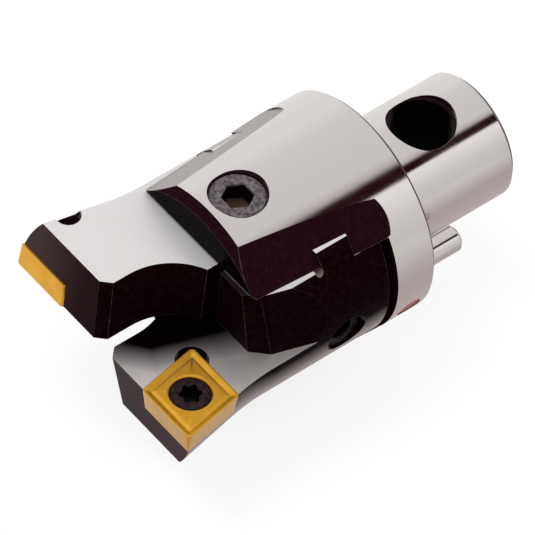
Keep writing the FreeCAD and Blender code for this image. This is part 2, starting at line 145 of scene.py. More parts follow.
def round_walls(mesh, walls):
    """Smooth shading: round walls by their formula, other faces smooth up to 7.4 degrees.

    Where a sliver of the mesh turns a flat face's shading, the face's own normal is used.
    """
    mesh.shade_smooth()
    mesh.set_sharp_from_angle(angle=math.radians(7.4))
    shading = np.empty(len(mesh.loops) * 3)
    mesh.corner_normals.foreach_get("vector", shading)
    shading = shading.reshape(-1, 3, 3)
    corners, triangles, normals = mesh_arrays(mesh)
    stray = (shading * normals[:, None, :]).sum(2) < math.cos(math.radians(5.5))
    shading = np.where(stray[:, :, None], normals[:, None, :], shading)
    for wall in walls:
        chosen, outward, facing = on_round_wall(corners, triangles, normals, *wall)
        shading[chosen] = outward[triangles[chosen]] * np.sign(facing[chosen])[:, None, None]
    mesh.normals_split_custom_set(shading.reshape(-1, 3))


def paint(mesh, materials, finish):
    """Gives every triangle one of the materials, by its index in finish."""
    for material in materials:
        mesh.materials.append(material)
    mesh.polygons.foreach_set("material_index", finish.astype(np.int32))


def fill(tree, node, sockets):
    """Gives a node's inputs their values, or links them to outputs of other nodes."""
    for key, value in sockets.items():
        if isinstance(value, bpy.types.NodeSocket):
            tree.links.new(value, node.inputs[key])
        else:
            node.inputs[key].default_value = value
    return node


def add(tree, kind, sockets=None, **settings):
    """One shader node: settings are its own, sockets are values or outputs of others."""
    node = tree.nodes.new(kind)
    for key, value in settings.items():
        setattr(node, key, value)
    return fill(tree, node, sockets or {})


def calculate(tree, operation, *values):
    """One step of arithmetic."""
    return add(tree, "ShaderNodeMath", dict(enumerate(values)), operation=operation).outputs[0]


def blend(tree, share, first, second):
    """Mix of two colours."""
    node = add(tree, "ShaderNodeMix", {0: share, 6: first, 7: second}, data_type="RGBA")
    return node.outputs[2]


def spread(tree, value, low, high, to_low, to_high):
    """A value carried from one range to another, held at both ends."""
    sockets = {0: value, 1: low, 2: high, 3: to_low, 4: to_high}
    return add(tree, "ShaderNodeMapRange", sockets).outputs[0]


def noise(tree, where, scale, detail, roughness=0.5):
    """Cloudy noise between 0 and 1."""
    sockets = {"Vector": where, "Scale": scale, "Detail": detail, "Roughness": roughness}
    return add(tree, "ShaderNodeTexNoise", sockets).outputs[0]


def dot(tree, first, second):
    """The product of two vectors, added up over the axes."""
    node = add(tree, "ShaderNodeVectorMath", {0: first, 1: second}, operation="DOT_PRODUCT")
    return node.outputs["Value"]


def rgb(red, green, blue):
    """Colour of 0-255 display values, as the shader's linear ones."""
    shown = np.array((red, green, blue)) / 255
    linear = np.where(shown > 0.04045, ((shown + 0.055) / 1.055) ** 2.4, shown / 12.92)
    return (*linear.tolist(), 1)


def multiplied(tree, first, second):
    """A vector times another, axis by axis."""
    node = add(tree, "ShaderNodeVectorMath", {0: first, 1: second}, operation="MULTIPLY")
    return node.outputs[0]


def object_mm(tree, stretch=(1, 1, 1)):
    """The object's own coordinates in millimetres, times a stretch along each axis."""
    own = add(tree, "ShaderNodeTexCoord").outputs["Object"]
    return multiplied(tree, own, tuple(1000 * share for share in stretch))


def edge_turn(tree, width):
    """The normal rounded off over a width, and how far it is turned from the plain one."""
    rounded = add(tree, "ShaderNodeBevel", {"Radius": width}, samples=4).outputs[0]
    straight = add(tree, "ShaderNodeNewGeometry").outputs["Normal"]
    return rounded, dot(tree, rounded, straight)


def new_group(name, inputs, outputs):
    """Node group with named inputs and outputs; returns it with its two end nodes."""
    tree = bpy.data.node_groups.new(name, "ShaderNodeTree")
    for label, kind, value in inputs:
        socket = tree.interface.new_socket(label, in_out="INPUT", socket_type=kind)
        socket.default_value = value
    for label, kind in outputs:
        tree.interface.new_socket(label, in_out="OUTPUT", socket_type=kind)
    return tree, tree.nodes.new("NodeGroupInput"), tree.nodes.new("NodeGroupOutput")


def place(tree, group, sockets):
    """Puts a node group into a material with its values."""
    return add(tree, "ShaderNodeGroup", sockets, node_tree=group)


def new_material(name):
    """Material with one Principled shader; returns it with its tree and the shader."""
    material = bpy.data.materials.new(name)
    material.use_nodes = True
    tree = material.node_tree
    return material, tree, tree.nodes["Principled BSDF"]


# Fine parallel scratches of a grinding wheel: noise that is long one way and short the other.
grinding, feed, drain = new_group(
    "grinding_lines",
    [("Stretch", "NodeSocketVector", (1, 1, 1)), ("Depth", "NodeSocketFloat", 0.1)],
    [("Lines", "NodeSocketFloat"), ("Cloud", "NodeSocketFloat"), ("Normal", "NodeSocketVector")])
place_mm = object_mm(grinding)
stretched = multiplied(grinding, place_mm, feed.outputs["Stretch"])
fine = noise(grinding, stretched, 7.0, 3.0, 0.6)
broad = noise(grinding, stretched, 1.3, 2.0)
lines = calculate(grinding, "ADD", calculate(grinding, "MULTIPLY", fine, 0.65),
                  calculate(grinding, "MULTIPLY", broad, 0.35))
relief = add(grinding, "ShaderNodeBump", {"Strength": feed.outputs["Depth"],
                                          "Distance": 0.02 * MM, "Height": lines}).outputs[0]
fill(grinding, drain, {"Lines": lines, "Cloud": noise(grinding, place_mm, 0.11, 2.0),
                       "Normal": relief})


def ground_steel(name, stretch, bright, dull, smooth, rough, depth, mirror=1):
    """Bare steel from the grinding wheel, its lines across the stretch direction."""
    material, tree, shader = new_material(name)
    marks = place(tree, grinding, {"Stretch": stretch, "Depth": depth})
    share = spread(tree, marks.outputs["Lines"], 0.3, 0.7, 0.0, 1.0)
    patchy = spread(tree, marks.outputs["Cloud"], 0.35, 0.65, 0.0, 0.05)
    lines_rough = spread(tree, marks.outputs["Lines"], 0.3, 0.7, rough, smooth)
    fill(tree, shader, {"Base Color": blend(tree, share, dull, bright),
                        "Roughness": calculate(tree, "ADD", lines_rough, patchy),
                        "Normal": marks.outputs["Normal"], "Metallic": mirror})
    return material


turned_bright = ground_steel("ground_round_steel", (0.05, 9, 0.05), rgb(232, 228, 226),
                             rgb(224, 219, 217), 0.05, 0.09, 0.08)
slot_bright = ground_steel("ground_slot_steel", (0.08, 5, 5), rgb(228, 224, 222),
                           rgb(208, 203, 201), 0.2, 0.3, 0.15)

# Blackened skin: dark maroon, faintly mottled, with tool marks and edges in a tone of their own:
# lighter where the skin is worn, and near black as a painted shade line on the nose front.
blackening, feed, drain = new_group(
    "blackened_skin",
    [("Skin", "NodeSocketColor", (0, 0, 0, 1)), ("Worn Or Shaded Edge", "NodeSocketColor", (0.1, 0.1, 0.1, 1)),
     ("Edge Width", "NodeSocketFloat", 0.0002), ("Wear Or Edge Shade", "NodeSocketFloat", 0.6),
     ("Marks At", "NodeSocketVector", (0, 0, 0)), ("Mark Tone", "NodeSocketFloat", 0.02),
     ("Depth", "NodeSocketFloat", 0.1)],
    [("Color", "NodeSocketColor"), ("Roughness", "NodeSocketFloat"), ("Edge", "NodeSocketFloat"),
     ("Normal", "NodeSocketVector")])
mottle = noise(blackening, object_mm(blackening), 0.9, 5.0, 0.6)
marks = noise(blackening, feed.outputs["Marks At"], 3.0, 3.0)
rounded, turn = edge_turn(blackening, feed.outputs["Edge Width"])
edge = spread(blackening, turn, 0.995, 0.93, 0.0, 1.0)
broken = spread(blackening, mottle, 0.35, 0.6, 0.3, 1.0)
worn_or_shaded_edge = calculate(blackening, "MULTIPLY", calculate(blackening, "MULTIPLY", edge, broken),
                 feed.outputs["Wear Or Edge Shade"])
scored = calculate(blackening, "MULTIPLY", spread(blackening, marks, 0.45, 0.75, 0.0, 1.0),
                   feed.outputs["Mark Tone"])
cloudy = calculate(blackening, "ADD", spread(blackening, mottle, 0.45, 0.8, 0.0, 0.02), scored)
lighter = blend(blackening, cloudy, feed.outputs["Skin"], feed.outputs["Worn Or Shaded Edge"])
relief = add(blackening, "ShaderNodeBump",
             {"Strength": feed.outputs["Depth"], "Distance": 0.03 * MM, "Height": marks,
              "Normal": rounded}).outputs[0]
fill(blackening, drain, {"Color": blend(blackening, worn_or_shaded_edge, lighter, feed.outputs["Worn Or Shaded Edge"]),
                         "Roughness": spread(blackening, marks, 0.3, 0.7, 0.2, 0.32),
                         "Edge": worn_or_shaded_edge, "Normal": relief})


def end_mill_marks(tree):
    """Where a point lies along the paths of the 17 mm end mill that cut the four corner flats.

    Each mark is an arc of radius 8.5 across the flat, so it is y + sqrt(8.5^2 - t^2), with
    t = (|x| - |z|) / sqrt(2) as the distance from the middle of the flat.
    """
    point = add(tree, "ShaderNodeSeparateXYZ", {0: object_mm(tree)})
    wide, high = (calculate(tree, "ABSOLUTE", point.outputs[axis]) for axis in (0, 2))
    across = calculate(tree, "MULTIPLY", calculate(tree, "SUBTRACT", wide, high), math.sqrt(0.5))
    square = calculate(tree, "MULTIPLY", across, across)
    bow = calculate(tree, "SQRT", calculate(tree, "SUBTRACT", MILL_RADIUS ** 2, square))
    sockets = {0: calculate(tree, "ADD", point.outputs[1], bow),
               1: calculate(tree, "MULTIPLY", across, 0.1)}
    return add(tree, "ShaderNodeCombineXYZ", sockets).outputs[0]


def blackened_steel(name, skin, worn_or_shaded_edge, wear_or_edge_shade, width, marks_at, tone, depth, shine=0.75, bare=0.8):
    """Steel with a thin black oxide skin, which shines like the steel at a shallow angle.

    shine is how much it does so, and bare how far the worn edges are down to the steel.
    """
    material, tree, shader = new_material(name)
    place_at = end_mill_marks(tree) if marks_at is None else object_mm(tree, marks_at)
    group = place(tree, blackening, {"Skin": skin, "Worn Or Shaded Edge": worn_or_shaded_edge, "Wear Or Edge Shade": wear_or_edge_shade, "Depth": depth,
                                     "Edge Width": width, "Marks At": place_at,
                                     "Mark Tone": tone})
    facing = add(tree, "ShaderNodeLayerWeight", {"Blend": 0.5}).outputs["Facing"]
    glance = spread(tree, facing, 0.6, 0.84, 0.0, shine)
    scuffed = calculate(tree, "MULTIPLY", group.outputs["Edge"], bare)
    colour = blend(tree, glance, group.outputs["Color"], rgb(214, 204, 204))
    fill(tree, shader, {"Base Color": colour, "Roughness": group.outputs["Roughness"],
                        "Normal": group.outputs["Normal"], "IOR": 1.06,
                        "Metallic": calculate(tree, "MAXIMUM", scuffed, glance)})
    return material


body_black = blackened_steel("blackened_milled_steel", rgb(34, 8, 18), rgb(150, 134, 138), 0.8,
                             0.12 * MM, None, 0.018, 0.08)
# Painted shade: the bores and the body's front face get a near-black skin, darker than the
# blackening elsewhere.
bore_shade_black = blackened_steel("blackened_bores_painted_shade", rgb(8, 2, 4), rgb(90, 84, 82), 0.6, 0.1 * MM,
                             (0.3, 0.3, 4), 0.01, 0.1, 0.1, 0.3)
# The rear chamfers of flange and shank: turned steel, with painted shade that makes them darker
# than the ground steel beside them.
chamfer_shade_steel = ground_steel("turned_chamfer_painted_shade", (0.05, 4, 0.05), rgb(88, 74, 74),
                           rgb(60, 48, 50), 0.25, 0.4, 0.1)

head = merged_copy("head_body", "head_body_ground")
corners, triangles, normals = mesh_arrays(head.data)
outer_wall = turned_wall(CENTRE, AXIS_Y, BODY_CHAMFER - BODY_LENGTH, -FLANGE_CHAMFER, BODY_RADIUS)
shank_wall = turned_wall(CENTRE, AXIS_Y, -0.5, SHANK_LENGTH - SHANK_CHAMFER, SHANK_RADIUS)
front_cone = turned_wall(CENTRE, AXIS_Y, -BODY_LENGTH, BODY_CHAMFER - BODY_LENGTH,
                         BODY_RADIUS - BODY_CHAMFER, BODY_RADIUS)
rear_cone = turned_wall(CENTRE, AXIS_Y, -FLANGE_CHAMFER, 0, BODY_RADIUS,
                        BODY_RADIUS - FLANGE_CHAMFER)
shank_cone = turned_wall(CENTRE, AXIS_Y, SHANK_LENGTH - SHANK_CHAMFER, SHANK_LENGTH,
                         SHANK_RADIUS, SHANK_RADIUS - SHANK_CHAMFER)
clamp_bore = turned_wall((0, CLAMP_Y, 0), AXIS_Z, -22, 22, CLAMP_HOLE_RADIUS)
cross_bore = turned_wall((0, CROSS_BORE_Y, 0), AXIS_Z, -13, 13, CROSS_BORE_RADIUS)
mark_wall = turned_wall((0, MARK_Y, 0), (math.cos(MARK_ANGLE), 0, math.sin(MARK_ANGLE)),
                        19, 22, MARK_RADIUS)

BLACK, BRIGHT, GUIDE, BORE, CHAMFER = range(5)
finish = np.full(len(triangles), BLACK)
for look, walls in ((BRIGHT, (outer_wall, shank_wall)), (CHAMFER, (rear_cone, shank_cone)),
                    (BORE, (clamp_bore, cross_bore))):
    for wall in walls:
        finish[on_round_wall(corners, triangles, normals, *wall)[0]] = look
middles = corners[triangles].mean(1) / MM
finish[(normals[:, 1] > 0.99) & (middles[:, 1] > -0.1)] = BRIGHT
finish[(normals[:, 1] < -0.99) & (middles[:, 1] < 0.1 - BODY_LENGTH)] = BORE
on_guide = (np.abs(normals[:, 2]) > 0.99) & (middles[:, 1] < SLOT_FLOOR_Y)
on_guide &= (np.abs(middles[:, 2]) > GUIDE_LOW) & (np.abs(middles[:, 2]) < GUIDE_HIGH)
finish[on_guide] = GUIDE
round_walls(head.data, [outer_wall, shank_wall, front_cone, rear_cone, shank_cone, clamp_bore,
                        cross_bore, mark_wall])
paint(head.data, [body_black, turned_bright, slot_bright, bore_shade_black, chamfer_shade_steel], finish)
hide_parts("head_body")
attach(head, "head")


# Insert holders: two alike, milled from steel bar and blackened, then ground on every face
# that lies flat along the slide. Holder B is holder A turned half round the tool axis.

AXIS_X = (1, 0, 0)
INSERT_X, INSERT_Y, SETTING_B = 16.586, -50, 0.5
INSERT_RADIUS, RHOMB_HALF = 6.35, math.radians(40)
NOSE_FRONT, HOLDER_RADIUS, FLARE_ARC, FLARE_ANGLE = 56.35, 20.7, 45, math.radians(10)
ADJUST_Y, ADJUST_Z, ADJUST_HOLE_RADIUS = -19, -3, 4.05
SEAT_THREAD_RADIUS = 2.45
POCKET_RELIEF_X, POCKET_RELIEF_Y, POCKET_RELIEF_RADIUS = 5.4236, -45.449, 2.95
ROOT_Y, ROOT_RADIUS = -23.05, 0.75
RAKE_HEIGHT, BLOCK_HEIGHT, GROUND_HEIGHTS = 0.1, 12.5, (12.0, 12.5, 14.85)

holder_flat = ground_steel("ground_flat_steel", (0.1, 6, 1), rgb(240, 238, 237),
                           rgb(230, 227, 226), 0.4, 0.5, 0.06, 0.3)
rake_flat = ground_steel("ground_rake_steel", (0.1, 6, 1), rgb(242, 236, 236),
                         rgb(230, 224, 224), 0.4, 0.48, 0.06)
block_flat = ground_steel("ground_block_steel", (0.1, 6, 1), rgb(228, 226, 225),
                          rgb(216, 213, 212), 0.4, 0.5, 0.06, 0.3)
holder_black = blackened_steel("blackened_holder_steel", rgb(18, 0, 4), rgb(160, 148, 146), 0.6,
                               0.12 * MM, (1, 1, 1), 0.01, 0.1)
# The nose front's edge tone is near black: a painted shade line along its edges.
nose_black = blackened_steel("blackened_nose_front", rgb(44, 20, 25), rgb(8, 0, 2), 1.0,
                             0.3 * MM, (1, 1, 1), 0.05, 0.1, 0.15, 0)
relief_pink = blackened_steel("holder_root_relief", rgb(120, 102, 102), rgb(190, 180, 178), 0.5,
                              0.1 * MM, (0.2, 4, 4), 0.1, 0.1)


def painted_light_and_shade(material, tone, *slopes):
    """Paints light or shade into a material's colour: carries it over to a tone where every slope
    is at its low end.

    A slope is a vector, which is multiplied with |x|, |y| and |z| in mm and added up,
    and the two sums between which the tone gives way to the colour.
    """
    tree = material.node_tree
    shader = tree.nodes["Principled BSDF"]
    size = add(tree, "ShaderNodeVectorMath", {0: object_mm(tree)}, operation="ABSOLUTE").outputs[0]
    share = None
    for slope, low, high in slopes:
        step = spread(tree, dot(tree, size, slope), low, high, 0.0, 1.0)
        share = calculate(tree, "MAXIMUM", share, step) if share else step
    colour = shader.inputs["Base Color"].links[0].from_socket
    fill(tree, shader, {"Base Color": blend(tree, share, tone, colour)})


# Painted shade: the rake face goes near black towards the gullet, where it mirrors holder B's dark
# nose.
painted_light_and_shade(rake_flat, rgb(20, 6, 8), ((0.626, 0.78, 0), 41.7, 47.0), ((1, 0.35, 0), 22.3, 28.5))
# Painted shade: the block's ground face goes dark where it comes out in front of the cheeks, 36 mm
# from the contact face.
painted_light_and_shade(block_flat, rgb(30, 12, 14), ((0, -1, 0), -36.0, -35.4))
# Painted light: the nose front turns paler towards its outer end, fully so 20 mm out from the
# axis.
painted_light_and_shade(nose_black, rgb(88, 68, 69), ((-1, 0, 0), -20, -7))


def flare_wall():
    """Outer wall of a holder: a cylinder, then an arc of 45 mm, then a cone of 10 degrees.

    The distances run from the contact face to the cutting end. The cone ends 0.35 mm
    inside the insert's outer corner.
    """
    tip_radius = INSERT_X + INSERT_RADIUS / math.tan(RHOMB_HALF) - 0.35
    cone_length = (tip_radius - HOLDER_RADIUS) / math.tan(FLARE_ANGLE)
    bend = NOSE_FRONT - cone_length - FLARE_ARC * math.tan(FLARE_ANGLE / 2)
    end = NOSE_FRONT + 1
    turn = np.linspace(0, FLARE_ANGLE, 41)
    along = np.concatenate([[0, bend - 0.01], bend + FLARE_ARC * np.sin(turn), [end]])
    rise = FLARE_ARC * (1 - np.cos(turn))
    last = rise[-1] + (end - bend - FLARE_ARC * math.sin(FLARE_ANGLE)) * math.tan(FLARE_ANGLE)
    return along * MM, (HOLDER_RADIUS + np.concatenate([[0, 0], rise, [last]])) * MM


flare_along, flare_radius = flare_wall()
MILLED, FLAT, ROOT, NOSE, RAKE, BLOCK = range(6)
for side, node, body, setting in ((1, "holder_a", "holder_a", 0.0),
                                  (-1, "holder_b", "holder_b", SETTING_B)):
    holder = merged_copy(node, node + "_milled")
    corners, triangles, normals = mesh_arrays(holder.data)
    seat_x = side * INSERT_X + setting
    walls = [((setting * MM, 0, 0), (0, -1, 0), flare_along, flare_radius),
             turned_wall((setting, ADJUST_Y, side * ADJUST_Z), AXIS_X, -25, 25,
                         ADJUST_HOLE_RADIUS),
             turned_wall((seat_x, INSERT_Y, 0), AXIS_Z, -13, 13, SEAT_THREAD_RADIUS),
             turned_wall((seat_x - side * POCKET_RELIEF_X, POCKET_RELIEF_Y, 0), AXIS_Z, -6, 6,
                         POCKET_RELIEF_RADIUS)]
    roots = [turned_wall((0, ROOT_Y, height), AXIS_X, -25, 25, ROOT_RADIUS)
             for height in (-BLOCK_HEIGHT, BLOCK_HEIGHT)]
    finish = np.full(len(triangles), MILLED)
    middles = corners[triangles].mean(1) / MM
    height = np.abs(middles[:, 2])
    level = np.abs(normals[:, 2]) > 0.99
    for ground_height in GROUND_HEIGHTS:
        finish[level & (np.abs(height - ground_height) < 0.02)] = FLAT
    finish[level & (np.abs(height - RAKE_HEIGHT) < 0.02)] = RAKE
    finish[(side * normals[:, 2] > 0.99) & (np.abs(height - BLOCK_HEIGHT) < 0.02)] = BLOCK
    finish[(normals[:, 1] < -0.9) & (middles[:, 1] < INSERT_Y)] = NOSE
    for root in roots:
        finish[on_round_wall(corners, triangles, normals, *root)[0]] = ROOT
    round_walls(holder.data, walls + roots)
    paint(holder.data, [holder_black, holder_flat, relief_pink, nose_black, rake_flat,
                        block_flat], finish)
    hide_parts(node)
    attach(holder, body)


# Inserts: pressed and sintered carbide with a gold nitride coating, 80 degree rhombs with a
# clearance of 7 degrees, a narrow land, a chip breaker groove and a countersunk hole.
# Each is one surface: a profile carried round outlines worked out for every row of it.

INSERT_THICKNESS, INSERT_CORNER, CLEARANCE = 4.76, 0.8, math.radians(7)
HONED, INSERT_HOLE_RADIUS = 0.05, 2.75


def rhomb_outline(inradius, corner_radius, count=10, along=6):
    """Rounded rhomb of 80 degrees about the origin, as a ring of (x, y) points in mm.

    Each corner is an arc about a centre on its diagonal, and the sides are split evenly,
    so that rings of different sizes have matching points.
    """
    ring = []
    for corner in range(4):
        half_angle = math.pi / 2 - RHOMB_HALF if corner % 2 else RHOMB_HALF
        heading = corner * math.pi / 2 - RHOMB_HALF
        reach = (inradius - corner_radius) / math.sin(half_angle)
        turn = heading + np.linspace(-1, 1, count) * (math.pi / 2 - half_angle)
        arc = reach * np.array([math.cos(heading), math.sin(heading)])
        ring.append(arc + corner_radius * np.stack([np.cos(turn), np.sin(turn)], 1))
    pieces = []
    for arc, following in zip(ring, ring[1:] + ring[:1]):
        share = np.linspace(0, 1, along + 2)[1:-1, None]
        pieces += [arc, arc[-1] * (1 - share) + following[0] * share]
    return np.concatenate(pieces)


def ring_at(ring, height):
    """A flat ring of points at a height."""
    return np.column_stack([ring, np.full(len(ring), height)])


def closed_rows(name, rows, move, material, angle):
    """Mesh through rows of points: quads between following rows, closed both ways round.

    move carries the array of points to their place. Edges sharper than the angle stay sharp.
    """
    points = move(np.stack(rows))
    count, around = points.shape[:2]
    row, column = np.arange(count)[:, None], np.arange(around)[None, :]
    above, beside = (row + 1) % count, (column + 1) % around
    quads = np.stack([row * around + column, row * around + beside, above * around + beside,
                      above * around + column], -1).reshape(-1, 4)
    mesh = bpy.data.meshes.new(name)
    mesh.from_pydata(points.reshape(-1, 3).tolist(), [], quads.tolist())
    weld(mesh)
    mesh.shade_smooth()
    mesh.set_sharp_from_angle(angle=math.radians(angle))
    mesh.materials.append(material)
    return as_object(name, mesh)


def insert_rows():
    """Rows from the hole's foot out round the flanks and the edge, and back into the hole.

    A row is a rhomb of an inradius and a corner radius at a height, or a circle. Down the
    flanks the inradius falls by the depth times the tangent of the clearance.
    """
    lean = math.tan(CLEARANCE)
    edge = rhomb_outline(INSERT_RADIUS, INSERT_CORNER)
    around = edge / np.linalg.norm(edge, axis=1)[:, None]
    foot = INSERT_RADIUS - INSERT_THICKNESS * lean

    def level(inradius, corner_radius, height):
        return ring_at(rhomb_outline(inradius, corner_radius), height)

    def hole(radius, height):
        return ring_at(around * radius, height)

    rows = [hole(INSERT_HOLE_RADIUS, -INSERT_THICKNESS),
            level(foot - 0.1, 0.15, -INSERT_THICKNESS),
            level(foot + 0.01, 0.22, 0.1 - INSERT_THICKNESS)]
    rows += [level(INSERT_RADIUS - drop * lean, INSERT_CORNER - drop * lean, -drop)
             for drop in (3.2, 1.6, 0.6, 0.07)]
    rows += [level(INSERT_RADIUS - HONED * (1 - math.cos(turn)), INSERT_CORNER - 0.01,
                   -HONED * (1 - math.sin(turn))) for turn in (0.4, 0.8, 1.2, math.pi / 2)]
    land_and_groove = ((6.1, 0.56, 0.0), (5.95, 0.5, -0.02), (5.55, 0.4, -0.18),
                       (5.25, 0.3, -0.31), (5.12, 0.25, -0.34), (5.05, 0.25, -0.33),
                       (4.74, 0.2, -0.04), (4.66, 0.2, 0.0))
    rows += [level(*sizes) for sizes in land_and_groove]
    countersink = ((3.9, 0.0), (3.85, -0.05), (3.3, -1.05), (INSERT_HOLE_RADIUS, -2.1),
                   (INSERT_HOLE_RADIUS, -3.4))
    return rows + [hole(*sizes) for sizes in countersink]


coating, tree, shader = new_material("gold_coated_carbide")
grain = object_mm(tree)
speckle = noise(tree, grain, 9.0, 3.0)
patches = spread(tree, noise(tree, grain, 0.35, 3.0), 0.35, 0.65, 0, 1)
rounded, turn = edge_turn(tree, 0.1 * MM)
facing = add(tree, "ShaderNodeLayerWeight", {"Blend": 0.5}).outputs["Facing"]
gold = blend(tree, patches, rgb(248, 190, 68), rgb(238, 178, 54))
# Paler towards a shallow angle, a painted sheen, and paler along the rounded edges, a painted
# highlight.
gold = blend(tree, spread(tree, facing, 0.5, 0.85, 0.0, 0.85), gold, rgb(255, 240, 206))
gold = blend(tree, spread(tree, turn, 0.995, 0.93, 0.0, 0.6), gold, rgb(250, 214, 128))
relief = add(tree, "ShaderNodeBump", {"Strength": 0.25, "Distance": 0.01 * MM,
                                      "Height": speckle, "Normal": rounded}).outputs[0]
fill(tree, shader, {"Base Color": gold, "Roughness": spread(tree, speckle, 0.3, 0.7, 0.42, 0.54),
                    "Normal": relief, "Metallic": 1})


def seat_a(points):
    """From the flat insert's place, in mm, to the seat in holder A."""
    return (points + np.array([INSERT_X, INSERT_Y, 0])) * MM


def seat_b(points):
    """The same seat half a turn round the tool axis, at holder B's setting."""
    return (seat_a(points) * np.array([-1, 1, -1])) + np.array([SETTING_B, 0, 0]) * MM


for node, body, seat in (("insert_a", "holder_a", seat_a), ("insert_b", "holder_b", seat_b)):
    insert = closed_rows(node + "_pressed", insert_rows(), seat, coating, 24)
    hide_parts(node)
    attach(insert, body)


# Screws: steel, rolled threads, blackened. The clamp and adjusting screws have hexagon
# sockets and the insert screws six lobes. Each is a surface of rows, from the middle of
# the socket's floor over the rim and down the thread to the middle of the tip.

AROUND = 96
CLAMP_FLATS, ADJUST_FLATS = 5, 4


def socket_ring(radius, corners, depth, soft):
    """Ring of a socket with an even number of sides or lobes, as (x, y) points in mm.

    For soft 0 the radius at an angle is that of a polygon's side; for soft 1 it swings
    with the cosine of the angle times the number of lobes.
    """
    angle = np.linspace(0, 2 * math.pi, AROUND, endpoint=False)
    sector = math.pi / corners
    within = np.abs((angle + sector) % (2 * sector) - sector)
    flat = radius * math.cos(sector) / np.cos(sector - within)
    lobed = radius - depth * (0.5 - 0.5 * np.cos(corners * angle))
    reach = flat * (1 - soft) + lobed * soft
    return np.column_stack([reach * np.cos(angle), reach * np.sin(angle)])


def socket_rows(ring, *sizes):
    """Rows of a socket: its ring times a share, at a height."""
    return [ring_at(ring * share, height) for share, height in sizes]


def discs(*sizes):
    """Rows of circles: the radius and the height of each."""
    angle = np.linspace(0, 2 * math.pi, AROUND, endpoint=False)
    circle = np.column_stack([np.cos(angle), np.sin(angle)])
    return [ring_at(radius * circle, height) for radius, height in sizes]


def thread_rows(radius, pitch, depth, top, bottom):
    """Wall of a thread: the radius falls by a rounded V of the depth once in each pitch.

    How far along the V a point is depends on its height and on its angle, so that the
    ridge climbs by one pitch in each turn. It fades out at both ends.
    """
    angle = np.linspace(0, 2 * math.pi, AROUND, endpoint=False)[None, :]
    height = np.arange(top, bottom, -pitch / 8)[:, None]
    phase = (height / pitch - angle / (2 * math.pi)) % 1
    valley = np.clip(1 - np.abs(phase - 0.5) / 0.4, 0, 1)
    fade = np.clip(np.minimum(top - height, height - bottom) / (0.6 * pitch), 0, 1)
    reach = radius - depth * valley * fade
    wall = [reach * np.cos(angle), reach * np.sin(angle), np.broadcast_to(height, reach.shape)]
    return list(np.stack(wall, -1))


def socket_screw(name, socket, rim, thread, tip, move, material):
    """One screw of rows: its socket, its rim or head, the thread and the tip.

    A tube of a hundredth of a millimetre joins the middles of the socket and the tip.
    """
    bottom = discs((0.01, socket[0][0, 2] - 0.001))
    point = discs((0.01, tip[-1][0, 2]))
    rows = bottom + socket + rim + thread_rows(*thread) + tip + point
    return closed_rows(name, rows, move, material, 28)


def screw_steel(name, tones, roughness, axis, rim, floor_at):
    """Blackened screw: mottled face, worn edges, socket walls and thread painted near black as
    shade, brownish floor.

    rim and floor_at are heights along the screw's axis between which the tones change.
    """
    face, worn_or_shaded_edge, socket_shade, socket_floor_tone = tones
    material, tree, shader = new_material(name)
    mm = object_mm(tree)
    height = add(tree, "ShaderNodeSeparateXYZ", {0: mm}).outputs[axis]
    height = calculate(tree, "ABSOLUTE", height)
    sunk = spread(tree, height, *rim, 1.0, 0.0)
    group = place(tree, blackening, {"Skin": face, "Worn Or Shaded Edge": worn_or_shaded_edge, "Wear Or Edge Shade": 0.7, "Depth": 0.2,
                                     "Edge Width": 0.1 * MM, "Marks At": mm, "Mark Tone": 0.05})
    blotch = noise(tree, mm, 1.3, 6.0, 0.7)
    top = blend(tree, spread(tree, blotch, 0.42, 0.62, 0.0, 0.6), group.outputs["Color"], worn_or_shaded_edge)
    socket_shade = blend(tree, spread(tree, height, *floor_at, 1.0, 0.0), socket_shade, socket_floor_tone)
    fill(tree, shader, {"Base Color": blend(tree, sunk, top, socket_shade),
                        "Roughness": spread(tree, blotch, 0.3, 0.7, roughness, roughness + 0.15),
                        "Normal": group.outputs["Normal"], "IOR": 1.2})
    return material


# The third tone of each screw is the painted shade down its socket and thread.
clamp_black = screw_steel("blackened_clamp_screw",
                          (rgb(74, 65, 68), rgb(158, 150, 152), rgb(10, 5, 4), rgb(102, 78, 68)),
                          0.35, 2, (19.5, 19.9), (16.3, 16.6))
adjust_black = screw_steel("blackened_adjusting_screw",
                           (rgb(14, 6, 8), rgb(60, 50, 52), rgb(4, 2, 2), rgb(12, 8, 8)),
                           0.3, 0, (18.4, 18.8), (14.3, 14.6))
insert_black = screw_steel("blackened_insert_screw",
                           (rgb(34, 16, 18), rgb(64, 54, 56), rgb(2, 1, 1), rgb(2, 1, 1)),
                           0.3, 2, (0.34, 0.24), (2.2, 2.0))


def in_cheek(side):
    """Move of a clamp screw into the upper cheek, or half a turn round into the lower one."""
    return lambda points: (points * [side, 1, side] + [0, CLAMP_Y, 0]) * MM


def in_holder(side):
    """Move of an adjusting screw, which lies down along X in holder A's or holder B's end."""
    return lambda points: np.stack([side * points[..., 2], ADJUST_Y + points[..., 1],
                                    side * (ADJUST_Z - points[..., 0])], -1) * MM


for node, side in (("clamp_screw_top", 1), ("clamp_screw_bottom", -1)):
    hexagon = socket_ring(CLAMP_FLATS / math.sqrt(3), 6, 0, 0)
    socket = socket_rows(hexagon, (0.5, 16.1), (1, 16.5), (1, 19.9), (1.05, 20.1))
    rim = discs((4.62, 20.1), (4.7, 20.08), (5.0, 19.8))
    tip = discs((5.0, 14.06), (4.7, 13.76))
    screw = socket_screw(node + "_threaded", socket, rim, (5.0, 1.0, 0.5, 19.7, 14.2), tip,
                         in_cheek(side), clamp_black)
    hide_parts(node)
    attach(screw, node)

